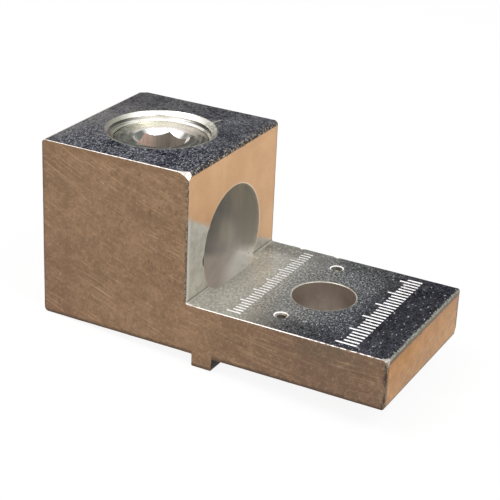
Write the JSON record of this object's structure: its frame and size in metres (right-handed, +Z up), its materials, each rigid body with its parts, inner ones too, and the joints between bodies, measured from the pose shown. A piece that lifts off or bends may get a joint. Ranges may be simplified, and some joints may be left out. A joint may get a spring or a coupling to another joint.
{
  "type": "mechanical lug",
  "caption": "Mechanical lug: an aluminium block with a wire bore and a hex-socket clamp screw, on a flat bolted tongue with a locating rib underneath.",
  "frame": {"origin": "axis of the bolt hole in the tongue, at the tongue's flat underside", "axes": "+X from the bolt hole towards the tongue's free end, +Z up along the bolt hole, which is also the way the clamp screw backs out"},
  "size_m": [0.0802, 0.0382, 0.0422],
  "materials": {
    "body": "extruded and sawn, tin-plated, handled and slightly stained",
    "screw": "machined"
  },
  "bodies": {
    "lug": {"lug_body": "body"},
    "screw": {"clamp_screw": "screw"}
  },
  "joints": [
    {"name": "screw_travel", "type": "slide", "parent": "lug", "child": "screw", "axis": [0, 0, 1], "range_m": [-0.00363, 0.01451]}
  ]
}
